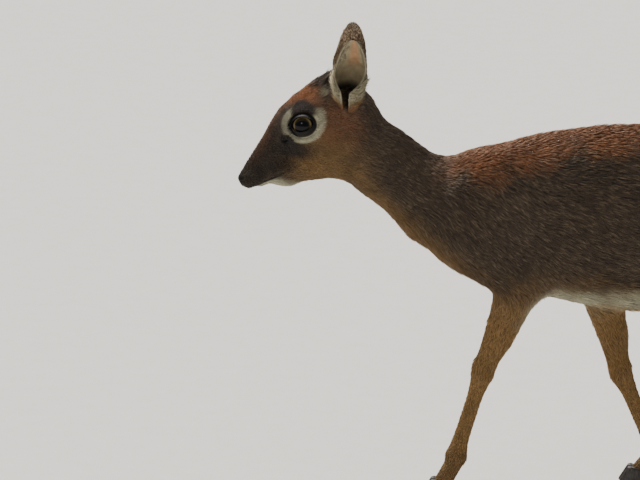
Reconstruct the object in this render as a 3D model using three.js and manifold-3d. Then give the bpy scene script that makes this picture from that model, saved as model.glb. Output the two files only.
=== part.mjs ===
// A life-size dik-dik doe in mid stride, with her head low: a small African antelope.
// Millimetres, +Z up, the head towards -X and her left side towards -Y. The hooves stand at Z = 0.
// Her flesh is one smooth field, meshed and then parted by thin cuts into head, neck, torso and legs.
import * as THREE from "three";
import { mergeVertices } from "three/addons/utils/BufferGeometryUtils.js";
import Module from "manifold-3d";

const wasm = await Module();
wasm.setup();

// Driving sizes

const GAP = 0.3; // left between touching pieces
const TORSO_CELL = 10; // size of the cells that the torso is meshed in
const HEAD_SIDES = 34;
const HEAD_RINGS = 32;
const LEG_SIDES = 12;
const LEG_RINGS = 22;

const EYE_RADIUS = 12;
const EYE_SIDES = 16;
const EYE = { x: -186, y: 20.5, z: 357.3 };
const LID_LENGTH = 10.6; // half the eye's opening, to the middle of the lids' rim
const LID_HEIGHT = 7.6;
const LID_THICK = 1.6;
const LID_SPREAD = 1.7; // how much further the lids reach away from the eye and into the head
const LID_CORNER = 0.1; // how far the opening is drawn out at its two corners
const GLAND = { x: -204, y: 18, z: 342, swell: [7, 2.6, 4.4], slit: [3.4, 1.6, 0.9], turn: 38 };
const NOSTRIL = { x: -246.5, y: 6, z: 303, size: [3.6, 1.9, 1.5], turn: 40 };
const MOUTH_MIDDLE = [-217, 0, 304];
const MOUTH_FORWARD = [-0.875, 0, -0.486];
const MOUTH_TURN = 112; // degrees of the mouth's line to each side of the front
const MOUTH_DEPTH = 2.2;
const MOUTH_HALF = 0.9; // half the height of the gap between the lips
const CREST_ROWS = 5;
const CREST_FRONT = -198;
const CREST_STEP = 8;
const CREST_LENGTH = 24;
const CREST_WIDTH = 8;
const CREST_THICK = 2.4;
const CREST_RISE = 0.8; // how far its tips stand off the crown
const CREST_SUNK = 2.6;

const EAR_LENGTH = 78;
const EAR_WIDTH = 30.5;
const EAR_THICK = 2.4;
const EAR_ROOT = { x: -144, y: 21, z: 379 };
const EAR_LEAN = 22; // degrees outwards from upright
const EAR_WIDEST = 0.46; // of its length
const EAR_POINT = 0.6; // the larger, the more its tip is drawn out
const EAR_ROOT_WIDTH = 0.66; // of its width
const EAR_ROLLED = 164; // degrees of the roll to each side of its middle, at the root
const EAR_OPENED = 68; // the same towards the tip
const EAR_OPENING = [0.34, 0.72]; // where the roll starts to open and where it is done, of its length
const EAR_BEND = 3;
const EAR_SUNK = 8;
const EAR_SIDES = 18;
const EAR_RINGS = 11;

const TAIL_LINE = [[300, 0, 310], [324, 0, 305], [338, 0, 290], [343, 0, 258]];
const TAIL_RADIUS = 10;
const HOOF_LENGTH = 29;
const HOOF_WIDTH = 9.5;
const HOOF_HEIGHT = 13;
const HOOF_FRONT = 10; // how far a hoof's front wall leans back up to the coronet
const CORONET_SLOPE = 20; // degrees that a hoof's top falls towards the heel
const HOOF_CLEFT = 1;
const LEG_FLAT = 1.18; // how much narrower a leg is than it is deep
const STUB = { length: 108, width: 62, height: 60, inner: 11, back: 12 };
const SKULL_BLEND = 9; // how softly forms run into each other
const TRUNK_BLEND = 30;
const FORE_BLEND = 6;
const HIND_BLEND = 9;
const HEAD_TO_NECK = 16;
const NECK_TO_TRUNK = 34;
const LEG_TO_TRUNK = 24;

// The joints of each leg in the side view, with the distance of each from the middle plane
const LEGS = [
  {
    name: "left_fore", side: -1, fore: true,
    top: [-38, 28, 254], bend: [18, 31, 206], knee: [-15.5, 28, 122],
    fetlock: [-42, 26, 38], toe: -75, parting: 0.43,
  },
  {
    name: "right_fore", side: 1, fore: true,
    top: [14, 28, 244], bend: [95, 31, 196], knee: [117, 28, 108],
    fetlock: [150, 26, 31], toe: 115, parting: 0.33,
  },
  {
    name: "left_hind", side: -1, fore: false,
    top: [262, 28, 296], bend: [222, 37, 213], knee: [298, 29, 139],
    fetlock: [313, 27, 37], toe: 281, parting: 0.36,
  },
  {
    name: "right_hind", side: 1, fore: false,
    top: [262, 28, 296], bend: [199, 37, 222], knee: [263, 29, 141],
    fetlock: [241, 27, 38], toe: 208, parting: 0.36,
  },
];

const COAT = new THREE.MeshStandardMaterial({ color: 0x6b5546, roughness: 0.9, metalness: 0 });
const TAN = new THREE.MeshStandardMaterial({ color: 0x8a6244, roughness: 0.9, metalness: 0 });
const RUST = new THREE.MeshStandardMaterial({ color: 0x7a4a30, roughness: 0.9, metalness: 0 });
const HORN = new THREE.MeshStandardMaterial({ color: 0x1c1815, roughness: 0.5, metalness: 0 });
const EYEBALL = new THREE.MeshStandardMaterial({ color: 0x120c08, roughness: 0.06, metalness: 0 });

const group = new THREE.Group();
const radians = THREE.MathUtils.degToRad;
const point = (x, y, z) => new THREE.Vector3(x, y, z);
const between = (a, b, share) => a.map((value, i) => value + (b[i] - value) * share);
const sided = ([x, y, z], side) => [x, side * y, z];
const direction = (a, b) => point(b[0] - a[0], b[1] - a[1], b[2] - a[2]).normalize();
let seed = 7;
const draw = () => (seed = (seed * 16807) % 2147483647) / 2147483647;
const smooth = (low, high, value) => THREE.MathUtils.smoothstep(value, low, high);

// The field: each form gives the distance from a place to its surface, below zero inside

function ellipsoid(centre, radii, pitch = 0) {
  const cos = Math.cos(radians(pitch));
  const sin = Math.sin(radians(pitch));
  return (x, y, z) => {
    const dx = x - centre[0];
    const dz = z - centre[2];
    const px = (dx * cos + dz * sin) / radii[0];
    const py = (y - centre[1]) / radii[1];
    const pz = (dz * cos - dx * sin) / radii[2];
    const near = Math.hypot(px, py, pz);
    const slope = Math.hypot(px / radii[0], py / radii[1], pz / radii[2]);
    return slope < 1e-9 ? -Math.min(...radii) : (near * (near - 1)) / slope;
  };
}

// A rod from a to b with a radius at each end, `flat` times narrower across Y than it is deep
function rod(a, startRadius, b, endRadius, flat = 1) {
  const along = [b[0] - a[0], b[1] - a[1], b[2] - a[2]];
  const squared = along[0] ** 2 + along[1] ** 2 + along[2] ** 2;
  return (x, y, z) => {
    const px = x - a[0];
    const py = y - a[1];
    const pz = z - a[2];
    const share = Math.min(1, Math.max(0, (px * along[0] + py * along[1] + pz * along[2]) / squared));
    const off = Math.hypot(px - along[0] * share, (py - along[1] * share) * flat, pz - along[2] * share);
    return off - (startRadius + (endRadius - startRadius) * share);
  };
}

// Rods end to end through places that each have their own radius
function chain(places, flat) {
  const rods = places.slice(1).map(([b, radius], n) => rod(...places[n], b, radius, flat));
  return (x, y, z) => Math.min(...rods.map((form) => form(x, y, z)));
}

function blend(a, b, soft) {
  const near = Math.max(soft - Math.abs(a - b), 0) / soft;
  return Math.min(a, b) - (near * near * soft) / 4;
}

const joined = (forms, soft) => (x, y, z) =>
  forms.reduce((sum, form) => blend(sum, form(x, y, z), soft), Infinity);

const bothSides = (form) => [form(-1), form(1)];

const skull = joined(
  [
    ellipsoid([-156, 0, 363], [36, 26, 37], -30),
    rod([-160, 0, 366], 32.5, [-189, 0, 350.5], 26.4, 1.3),
    rod([-189, 0, 350.5], 26.4, [-238, 0, 304], 6.6, 1.28),
    ellipsoid([-184, 0, 372.5], [15, 13, 11.5], -38),
    rod([-205, 0, 341], 17, [-236, 0, 312], 6.2, 1.5),
    ellipsoid([-241, 0, 300.8], [8, 8.3, 5.6]),
    ...bothSides((side) => rod([-154, side * 11, 324], 17.5, [-204, side * 5.5, 309.5], 11.2, 1)),
    ...bothSides((side) => rod([-204, side * 5.5, 309.5], 11.2, [-226, side * 3, 304.5], 5.2, 1)),
    ...bothSides((side) => ellipsoid([-166, side * 16, 338], [26, 14, 25], 20)),
    ...bothSides((side) => ellipsoid([-185, side * 16.5, 358], [22, 12.5, 18], 20)),
    ...bothSides((side) => ellipsoid([-232, side * 5, 305], [8.5, 6, 5.8], 40)),
    ...bothSides((side) => ellipsoid([-144, side * 17, 373], [15, 13, 15])),
  ],
  SKULL_BLEND,
);

const neck = chain(
  [[[-138, 0, 338], 33], [[-114, 0, 319], 35], [[-89, 0, 300], 35], [[-62, 0, 278], 40], [[-34, 0, 271], 46]],
  1.17,
);

const BACK = [
  [[-20, 0, 296], 22], [[40, 0, 313], 23], [[100, 0, 323], 23], [[160, 0, 325], 23], [[240, 0, 318], 24],
];

const trunk = joined(
  [
    ellipsoid([49, 0, 264], [108, 44, 73], 3),
    ellipsoid([136, 0, 259], [116, 52, 85]),
    ellipsoid([232, 0, 285], [96, 48, 64], 6),
    chain(BACK, 0.9),
  ],
  TRUNK_BLEND,
);

// The end of a foot's flesh, in the middle of its hooves
const coronet = ({ toe, fetlock }) => [toe + HOOF_LENGTH * 0.6, fetlock[1], HOOF_HEIGHT * 0.4];

// A leg down to its hooves: a fore one from the shoulder, a hind one from the haunch
function leg(own) {
  const { side, fore, top, bend, knee, fetlock } = own;
  const at = ([x, y, z], dx = 0, dy = 0, dz = 0) => [x + dx, side * (y + dy), z + dz];
  const shin = (share) => between(bend, knee, share);
  const cannon = (share) => between(knee, fetlock, share);
  const foot = [[at(cannon(0.3)), 7.2], [at(cannon(0.7)), 7.2], [at(cannon(0.86)), 7.8], [at(fetlock), 9.2]];
  const pastern = rod(at(fetlock, 2.5, 0, -1), 8, at(coronet(own)), 8.2, 0.92);
  if (fore)
    return joined(
      [
        ellipsoid(at([top[0] + 38, 30, 280]), [36, 17, 50], -14),
        rod(at(top), 23, at(bend), 20, 1.3),
        rod(at(bend, 16, -2, 8), 8, at(bend, 2), 15, LEG_FLAT),
        chain(
          [[at(bend), 21], [at(shin(0.6), 1.5), 14.6], [at(shin(0.85)), 11], [at(knee), 10.4], ...foot],
          LEG_FLAT,
        ),
        rod(at(knee, -0.5, 0, 4), 8.6, at(knee, -0.5, 0, -4), 8.4, 1),
        pastern,
      ],
      FORE_BLEND,
    );
  const heel = at(knee, 10.5, 0, 11);
  const hamstring = [
    [at([304, 21, 274]), 27], [at(shin(0.25), 34, -6, 8), 18], [at(shin(0.62), 16, -1, 4), 8], [heel, 4.4],
  ];
  return joined(
    [
      ellipsoid(at([top[0] + 4, 22, 278]), [54, 31, 56], 20),
      rod(at(top, 0, -4), 44, at(bend, 14, -4, 12), 28, 1.7),
      rod(at(top, 6, -6, -20), 38, at(shin(0.2), 18, -5, 8), 25, 1.5),
      chain([[at(bend, 8, -3, 4), 26], [at(shin(0.5), 4), 16.5], [at(knee, -3, 0, 4), 10.2]], 1.28),
      chain(hamstring, 1.2),
      rod(heel, 5, at(knee, 4, 0, -8), 7.6, LEG_FLAT),
      chain([[at(knee, -2), 10.6], [at(cannon(0.12)), 9.4], ...foot], LEG_FLAT),
      pastern,
    ],
    HIND_BLEND,
  );
}

const legForms = LEGS.map(leg);

function flesh(x, y, z) {
  let sum = blend(neck(x, y, z), skull(x, y, z), HEAD_TO_NECK);
  sum = blend(sum, trunk(x, y, z), NECK_TO_TRUNK);
  for (const form of legForms) sum = blend(sum, form(x, y, z), LEG_TO_TRUNK);
  return sum;
}

// Meshing the field

function slopeAt(field, p) {
  const step = 0.5;
  return point(
    field(p.x + step, p.y, p.z) - field(p.x - step, p.y, p.z),
    field(p.x, p.y + step, p.z) - field(p.x, p.y - step, p.z),
    field(p.x, p.y, p.z + step) - field(p.x, p.y, p.z - step),
  ).divideScalar(2 * step);
}

function toSurface(field, p, rounds = 3) {
  for (let i = 0; i < rounds; i++) {
    const slope = slopeAt(field, p);
    p.addScaledVector(slope, -field(p.x, p.y, p.z) / Math.max(slope.lengthSq(), 0.1));
  }
  return p;
}

// One vertex in each cell of a grid that the surface crosses, and one square across each crossed edge
function netOf(field, low, high, cell) {
  const count = [0, 1, 2].map((i) => Math.ceil((high[i] - low[i]) / cell) + 1);
  const place = (i, j, k) => [low[0] + i * cell, low[1] + j * cell, low[2] + k * cell];
  const index = (i, j, k) => (i * count[1] + j) * count[2] + k;
  const values = new Float64Array(count[0] * count[1] * count[2]);
  for (let i = 0; i < count[0]; i++)
    for (let j = 0; j < count[1]; j++)
      for (let k = 0; k < count[2]; k++) values[index(i, j, k)] = field(...place(i, j, k));

  const corners = [0, 1, 2, 3, 4, 5, 6, 7].map((n) => [n & 1, (n >> 1) & 1, n >> 2]);
  const edges = corners.flatMap((a, m) =>
    [1, 2, 4].filter((bit) => !(m & bit)).map((bit) => [m, m | bit]),
  );
  const vertexOf = new Map();
  const positions = [];
  for (let i = 0; i < count[0] - 1; i++)
    for (let j = 0; j < count[1] - 1; j++)
      for (let k = 0; k < count[2] - 1; k++) {
        const sum = point(0, 0, 0);
        let crossings = 0;
        for (const [a, b] of edges) {
          const [ca, cb] = [corners[a], corners[b]];
          const va = values[index(i + ca[0], j + ca[1], k + ca[2])];
          const vb = values[index(i + cb[0], j + cb[1], k + cb[2])];
          if (va < 0 === vb < 0) continue;
          const pa = point(...place(i + ca[0], j + ca[1], k + ca[2]));
          sum.add(pa.lerp(point(...place(i + cb[0], j + cb[1], k + cb[2])), va / (va - vb)));
          crossings++;
        }
        if (!crossings) continue;
        const p = toSurface(field, sum.divideScalar(crossings));
        vertexOf.set(index(i, j, k), positions.length / 3);
        positions.push(p.x, p.y, p.z);
      }

  const faces = [];
  const corner = (n) => point(...positions.slice(3 * n, 3 * n + 3));
  const axes = [[1, 0, 0], [0, 1, 0], [0, 0, 1]];
  for (let i = 1; i < count[0] - 1; i++)
    for (let j = 1; j < count[1] - 1; j++)
      for (let k = 1; k < count[2] - 1; k++)
        axes.forEach((axis, n) => {
          const here = values[index(i, j, k)];
          const there = values[index(i + axis[0], j + axis[1], k + axis[2])];
          if (here < 0 === there < 0) return;
          const [u, v] = [axes[(n + 1) % 3], axes[(n + 2) % 3]];
          const cells = [[0, 0], [1, 0], [1, 1], [0, 1]].map(([a, b]) =>
            vertexOf.get(index(i - a * u[0] - b * v[0], j - a * u[1] - b * v[1], k - a * u[2] - b * v[2])),
          );
          if (here >= 0) cells.reverse();
          const shortFirst =
            corner(cells[0]).distanceTo(corner(cells[2])) < corner(cells[1]).distanceTo(corner(cells[3]));
          const [a, b, c, d] = shortFirst ? cells : [...cells.slice(1), cells[0]];
          faces.push(a, b, c, a, c, d);
        });
  return new THREE.BufferGeometry()
    .setAttribute("position", new THREE.Float32BufferAttribute(positions, 3))
    .setIndex(faces);
}

// Distance from a place inside the field to its surface along a direction
function reach(field, from, direction, most) {
  let near = 0;
  let far = 0;
  while (far < most) {
    const p = from.clone().addScaledVector(direction, far);
    const depth = field(p.x, p.y, p.z);
    if (depth > 0) break;
    near = far;
    far += Math.max(-depth * 0.8, 0.6);
  }
  for (let i = 0; i < 14; i++) {
    const middle = (near + far) / 2;
    const p = from.clone().addScaledVector(direction, middle);
    if (field(p.x, p.y, p.z) > 0) far = middle;
    else near = middle;
  }
  return Math.min(far, most);
}

// Closed solids

function solidOf(geometry) {
  const bare = new THREE.BufferGeometry()
    .setAttribute("position", geometry.getAttribute("position"))
    .setIndex(geometry.index);
  const merged = mergeVertices(bare, 1e-3);
  const solid = new wasm.Manifold(
    new wasm.Mesh({
      numProp: 3,
      vertProperties: merged.attributes.position.array,
      triVerts: new Uint32Array(merged.index.array),
    }),
  );
  return solid;
}

function turnedOver(geometry) {
  const index = geometry.index.array;
  for (let i = 0; i < index.length; i += 3) [index[i], index[i + 1]] = [index[i + 1], index[i]];
  return geometry;
}

const largest = (solid) =>
  solid.decompose().reduce((best, piece) => (piece.volume() > best.volume() ? piece : best));

// A closed tube of rings: place(share, angle) says where each point of the wall lies
function tube(sides, rings, place) {
  const geometry = new THREE.CylinderGeometry(1, 1, 1, sides, rings);
  const position = geometry.getAttribute("position");
  for (let i = 0; i < position.count; i++) {
    const share = 0.5 - position.getY(i);
    const angle = Math.atan2(position.getX(i), position.getZ(i));
    const wall = Math.hypot(position.getX(i), position.getZ(i)) > 0.5;
    let p = place(share, angle);
    if (!wall) {
      p = point(0, 0, 0);
      for (let n = 0; n < sides; n++) p.add(place(share, (2 * Math.PI * n) / sides));
      p.divideScalar(sides);
    }
    position.setXYZ(i, p.x, p.y, p.z);
  }
  const solid = solidOf(geometry);
  return solid.volume() > 0 ? solid : solidOf(turnedOver(geometry));
}

// A tube wrapped onto the field, with its rings across a path of centres and normals
function wrap(field, frames, sides, rings, most, spacing = (share) => share) {
  const centres = new THREE.CatmullRomCurve3(frames.map((frame) => point(...frame.at)));
  const normals = new THREE.CatmullRomCurve3(frames.map((frame) => point(...frame.facing)));
  const cache = new Map();
  const ringAt = (share) => {
    if (!cache.has(share)) {
      const s = spacing(share);
      const along = normals.getPoint(s).normalize();
      const across = point(0, 1, 0).addScaledVector(along, -along.y).normalize();
      cache.set(share, { centre: centres.getPoint(s), across, up: across.clone().cross(along) });
    }
    return cache.get(share);
  };
  return tube(sides, rings, (share, angle) => {
    const { centre, across, up } = ringAt(share);
    const out = across.clone().multiplyScalar(Math.sin(angle)).addScaledVector(up, Math.cos(angle));
    return centre.clone().addScaledVector(out, reach(field, centre, out, most));
  });
}

function keep(name, solid, material) {
  const made = largest(solid).getMesh();
  const geometry = new THREE.BufferGeometry()
    .setAttribute("position", new THREE.Float32BufferAttribute(made.vertProperties, 3))
    .setIndex(new THREE.BufferAttribute(made.triVerts, 1));
  geometry.computeVertexNormals();
  const mesh = new THREE.Mesh(geometry, material);
  mesh.name = name;
  group.add(mesh);
}

// Cuts: a plane is a place on it and the direction that it faces

const plane = (at, facing) => {
  const normal = point(...facing).normalize();
  return { at: point(...at), normal };
};

// What lies on the side that the plane faces, half a gap off it
function before({ at, normal }, solid) {
  return solid.trimByPlane(normal.toArray(), normal.dot(at) + GAP / 2);
}

function behind({ at, normal }, solid) {
  const back = normal.clone().negate();
  return solid.trimByPlane(back.toArray(), back.dot(at) + GAP / 2);
}

const neckToHead = plane([-133, 0, 336], [-75, 0, 22]);
const torsoToNeck = plane([-62, 0, 286], [-80, 0, 42]);

// Head

const headFrames = [
  { at: [-248.7, 0, 300.6], facing: [-0.85, 0, -0.5] },
  { at: [-240, 0, 304], facing: [-0.85, 0, -0.52] },
  { at: [-222, 0, 314], facing: [-0.84, 0, -0.54] },
  { at: [-200, 0, 328], facing: [-0.83, 0, -0.55] },
  { at: [-178, 0, 341], facing: [-0.84, 0, -0.52] },
  { at: [-154, 0, 343], facing: [-0.92, 0, -0.2] },
  { at: [-126, 0, 334], facing: [-0.96, 0, 0.32] },
];

const ball = (radii, at, turn = 0, sides = 10) => {
  const made = new THREE.SphereGeometry(1, sides, Math.round(sides * 0.66));
  made.scale(...radii).rotateY(radians(turn)).translate(...at);
  return solidOf(made);
};

// The directions of an eye: outwards and a little forwards, then along its corners, then up
function eyeAxes(side) {
  const out = point(-0.24, side * 0.95, 0.12).normalize();
  const forward = point(-0.99, 0, -0.14);
  forward.addScaledVector(out, -forward.dot(out)).normalize();
  return { out, forward, up: out.clone().cross(forward).multiplyScalar(-side) };
}

// Both lids of an eye: one ring that follows the ball, drawn out at the two corners
function lids(side) {
  const { out, forward, up } = eyeAxes(side);
  const ring = new THREE.TorusGeometry(1, 0.2, 6, 24);
  const position = ring.getAttribute("position");
  for (let i = 0; i < position.count; i++) {
    const around = Math.atan2(position.getY(i), position.getX(i));
    const off = Math.hypot(position.getX(i), position.getY(i)) - 1;
    const rise = position.getZ(i);
    const x = LID_LENGTH * Math.cos(around) * (1 + LID_CORNER * Math.cos(around) ** 8);
    const y = LID_HEIGHT * Math.sin(around);
    const height = Math.sqrt(Math.max(EYE_RADIUS ** 2 - (x * x + y * y) * 0.92, 36)) + 0.8;
    const away = forward.clone().multiplyScalar(x).addScaledVector(up, y).normalize();
    const p = point(EYE.x, side * EYE.y, EYE.z)
      .addScaledVector(forward, x)
      .addScaledVector(up, y)
      .addScaledVector(out, height)
      .addScaledVector(away, (off / 0.2) * LID_THICK * (off > 0 ? LID_SPREAD : 1))
      .addScaledVector(out, (rise / 0.2) * LID_THICK * (rise < 0 ? LID_SPREAD : 1));
    position.setXYZ(i, p.x, p.y, p.z);
  }
  const solid = solidOf(ring);
  return solid.volume() > 0 ? solid : solidOf(turnedOver(ring));
}

// The line of the mouth: a groove round the muzzle in the plane that the lips meet in
function mouth() {
  const forward = point(...MOUTH_FORWARD);
  const inside = point(...MOUTH_MIDDLE);
  const across = forward.clone().cross(point(0, 1, 0));
  const wide = radians(MOUTH_TURN);
  return tube(4, 20, (share, angle) => {
    const turn = wide * (2 * share - 1);
    const out = forward.clone().multiplyScalar(Math.cos(turn)).add(point(0, Math.sin(turn), 0));
    const centre = inside.clone().addScaledVector(out, reach(flesh, inside, out, 60));
    const fade = 1 - 0.7 * smooth(0.8, 1, Math.abs(2 * share - 1));
    return centre
      .addScaledVector(out, MOUTH_DEPTH * fade * Math.cos(angle))
      .addScaledVector(across, MOUTH_HALF * fade * Math.sin(angle));
  });
}

// One flat, tapered lock of the crest: it lies back along the crown, and its tip stands off it
function lock(x, y, length, sway) {
  const up = point(0, 0, 1);
  const from = point(x, y, 350);
  const root = from.addScaledVector(up, reach(flesh, from, up, 90));
  const normal = slopeAt(flesh, root).normalize();
  const along = point(normal.z, sway, -normal.x).normalize();
  const across = normal.clone().cross(along).normalize();
  return tube(4, 3, (share, angle) => {
    const rise = (CREST_RISE + CREST_SUNK) * Math.sin(share * 1.9) - CREST_SUNK;
    const width = CREST_WIDTH * (1 - 0.88 * share ** 2);
    const thick = CREST_THICK * (1 - 0.6 * share);
    return root
      .clone()
      .addScaledVector(along, length * share)
      .addScaledVector(normal, rise + thick * 0.5 * Math.cos(angle))
      .addScaledVector(across, width * 0.5 * Math.sin(angle));
  });
}

function crest() {
  const locks = [];
  for (let row = 0; row < CREST_ROWS; row++) {
    const across = 4 + (row % 2);
    for (let n = 0; n < across; n++) {
      const spread = (n / (across - 1) - 0.5) * 2;
      const x = CREST_FRONT + row * CREST_STEP + 3 * Math.abs(spread);
      const length = CREST_LENGTH * (0.8 + 0.2 * draw());
      locks.push(lock(x, spread * (across === 4 ? 9 : 12), length, 0.12 * spread + 0.1 * (draw() - 0.5)));
    }
  }
  return locks;
}

const headWhole = wrap(flesh, headFrames, HEAD_SIDES, HEAD_RINGS, 70, (s) => s ** 1.25);
const additions = [-1, 1].map(lids).concat(
  crest(),
  [-1, 1].map((side) => ball(GLAND.swell, [GLAND.x, side * (GLAND.y - 1.6), GLAND.z], GLAND.turn)),
);
const removals = [-1, 1].flatMap((side) => [
  ball([1, 1, 1].map((one) => one * (EYE_RADIUS + GAP)), [EYE.x, side * EYE.y, EYE.z], 0, EYE_SIDES),
  ball(NOSTRIL.size, [NOSTRIL.x, side * NOSTRIL.y, NOSTRIL.z], NOSTRIL.turn),
  ball(GLAND.slit, [GLAND.x, side * (GLAND.y + 1.2), GLAND.z], GLAND.turn),
]);
removals.push(mouth());
let head = headWhole;
for (const solid of additions) head = head.add(solid);
for (const solid of removals) head = head.subtract(solid);
head = before(neckToHead, largest(head));
keep("head", head, RUST);
for (const [name, side] of [["left", -1], ["right", 1]])
  keep(
    `eye_${name}`,
    ball([1, 1, 1].map((one) => one * EYE_RADIUS), [EYE.x, side * EYE.y, EYE.z], 0, EYE_SIDES),
    EYEBALL,
  );

// Ears: a leaf rolled into a cup, closed at the root and open outwards

function ear(side) {
  const lean = radians(EAR_LEAN);
  const up = point(0.06, side * Math.sin(lean), Math.cos(lean)).normalize();
  const facing = point(-0.32, side * Math.cos(lean), -Math.sin(lean));
  facing.addScaledVector(up, -facing.dot(up)).normalize();
  const across = up.clone().cross(facing);
  const root = point(EAR_ROOT.x, side * EAR_ROOT.y, EAR_ROOT.z);
  const half = EAR_SIDES / 2;
  return tube(EAR_SIDES, EAR_RINGS, (share, angle) => {
    const height = share ** 0.9;
    const beyond = (height - EAR_WIDEST) / (1.005 - EAR_WIDEST);
    const leaf =
      beyond < 0
        ? EAR_ROOT_WIDTH + (1 - EAR_ROOT_WIDTH) * smooth(0.05, EAR_WIDEST, height)
        : Math.max(1 - beyond ** 2, 0.0004) ** EAR_POINT;
    const span = radians(EAR_ROLLED + (EAR_OPENED - EAR_ROLLED) * smooth(...EAR_OPENING, height));
    const radius = (EAR_WIDTH / 2) * leaf / (span < Math.PI / 2 ? Math.sin(span) : 1);
    const thick = EAR_THICK * Math.min(1, 0.35 + leaf);
    const step = (Math.round((angle / (2 * Math.PI)) * EAR_SIDES) + EAR_SIDES) % EAR_SIDES;
    const outer = step < half;
    const turn = span * ((outer ? step : EAR_SIDES - 1 - step) / (half - 1) - 0.5) * 2;
    const hollow = smooth(0.12, 0.42, height);
    const wall = outer ? radius + thick / 2 : Math.max((radius - thick / 2) * hollow, 0.3);
    const sink = radius * Math.cos(Math.min(span, Math.PI / 2)) * 0.5;
    return root
      .clone()
      .addScaledVector(up, EAR_LENGTH * height - EAR_SUNK)
      .addScaledVector(across, wall * Math.sin(turn))
      .addScaledVector(facing, sink - wall * Math.cos(turn) + EAR_BEND * Math.sin(Math.PI * height));
  });
}

for (const [name, side] of [["left", -1], ["right", 1]]) {
  const cut = largest(ear(side).subtract(head));
  keep(`ear_${name}`, cut.translate([0, side * GAP * 0.6, GAP]), RUST);
}

// Torso and neck

// The field from the nape back and from just under the belly up, so that its mesh is closed
const BODY_LOW = [-160, -85, 150];
const BODY_HIGH = [355, 85, 400];
const clipped = (x, y, z) => Math.max(flesh(x, y, z), BODY_LOW[0] + 12 - x, BODY_LOW[2] + 10 - z);
const body = solidOf(netOf(clipped, BODY_LOW, BODY_HIGH, TORSO_CELL));
keep("neck", behind(neckToHead, before(torsoToNeck, body)), COAT);
let torso = behind(torsoToNeck, body);

// Legs

// Where a leg leaves the body, and the way that this cut faces
const legCut = ({ side, fore, bend, knee, parting }) =>
  plane(sided(between(bend, knee, parting), side), fore ? [0, 0, -1] : [0.3, 0, -0.95]);

// The stub of a leg under its cut, to be taken off the torso
function stub(own, cut) {
  const box = new THREE.BoxGeometry(STUB.length, STUB.width, STUB.height);
  const tilt = Math.atan2(-cut.normal.x, -cut.normal.z);
  box.translate(STUB.back, 0, -STUB.height / 2 + GAP / 2);
  box.rotateY(tilt);
  box.translate(cut.at.x, own.side * (STUB.inner + STUB.width / 2), cut.at.z);
  return solidOf(box);
}

// One claw: its front wall leans back, it is narrow at the toe and flat towards its twin
function hoof({ side, toe, fetlock }, inner) {
  const y = side * fetlock[1] + inner * (HOOF_WIDTH + HOOF_CLEFT) * 0.5;
  return tube(10, 2, (share, angle) => {
    const high = 1 - share;
    const front = toe + HOOF_FRONT * high;
    const back = toe + HOOF_LENGTH - 1.5 * high;
    const ahead = Math.cos(angle);
    const width = (HOOF_WIDTH - 0.6 * high) * (1 - 0.45 * Math.max(0, ahead) ** 3);
    const flatSide = Math.sin(angle) * inner < 0 ? 0.85 : 1;
    return point(
      (front + back) / 2 - (ahead * (back - front)) / 2,
      y + Math.sin(angle) * width * 0.5 * flatSide,
      (HOOF_HEIGHT + 4) * high,
    );
  });
}

for (const own of LEGS) {
  const { name, side, fore } = own;
  const [b, k, f] = [own.bend, own.knee, own.fetlock].map((joint) => sided(joint, side));
  const end = sided(coronet(own), side);
  const cut = legCut(own);
  const [shin, cannon, pastern] = [direction(b, k), direction(k, f), direction(f, end)];
  const inside = plane([0, side * STUB.inner, 0], [0, side, 0]);
  const whole = before(inside, wrap(
    flesh,
    [
      { at: cut.at.clone().addScaledVector(cut.normal, -3).toArray(), facing: cut.normal.toArray() },
      { at: between(b, k, 0.75), facing: shin.toArray() },
      { at: between(k, f, 0.02), facing: shin.clone().add(cannon).toArray() },
      { at: between(k, f, 0.5), facing: cannon.toArray() },
      { at: between(k, f, 0.97), facing: cannon.clone().add(pastern).toArray() },
      { at: end, facing: pastern.toArray() },
    ],
    LEG_SIDES,
    LEG_RINGS,
    60,
  ));
  torso = torso.subtract(stub(own, cut));
  const belowKnee = plane(between(k, f, fore ? 0.09 : 0.14), cannon.toArray());
  const aboveFetlock = plane(between(k, f, 0.88), cannon.toArray());
  const slope = radians(CORONET_SLOPE);
  const hoofTop = plane([own.toe + HOOF_FRONT, 0, HOOF_HEIGHT], [-Math.sin(slope), 0, -Math.cos(slope)]);
  keep(`${name}_${fore ? "forearm" : "gaskin"}`, behind(belowKnee, before(cut, whole)), TAN);
  keep(`${name}_cannon`, behind(aboveFetlock, before(belowKnee, whole)), TAN);
  keep(`${name}_pastern`, behind(hoofTop, before(aboveFetlock, whole)), TAN);
  for (const [part, inner] of [["inner", -side], ["outer", side]])
    keep(`${name}_hoof_${part}`, before(hoofTop, hoof(own, inner)), HORN);
}
keep("torso", torso, COAT);

// Tail

const tailLine = new THREE.CatmullRomCurve3(TAIL_LINE.map((at) => point(...at)));
const tailWhole = tube(12, 9, (share, angle) => {
  const along = tailLine.getTangent(share);
  const out = point(0, Math.sin(angle), 0).add(
    along.clone().cross(point(0, 1, 0)).multiplyScalar(Math.cos(angle)),
  );
  const radius = TAIL_RADIUS * (1 - 0.55 * smooth(0.35, 1, share)) * (share > 0.97 ? 0.5 : 1);
  return tailLine.getPoint(share).addScaledVector(out, radius);
});
keep("tail", largest(tailWhole.subtract(torso)).translate([GAP, 0, 0]), COAT);

// The origin: on the floor, in the middle of her box
const box = new THREE.Box3().setFromObject(group);
const middle = box.getCenter(point(0, 0, 0));
group.position.set(-middle.x, -middle.y, -box.min.z);

export default group;
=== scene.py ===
"""The looks of a life-size dik-dik doe in mid stride: her skin, coat, ears, eyes and hooves."""
import math

import bmesh
import bpy
import numpy as np
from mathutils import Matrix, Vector
from mathutils.bvhtree import BVHTree
from mathutils.kdtree import KDTree


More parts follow.
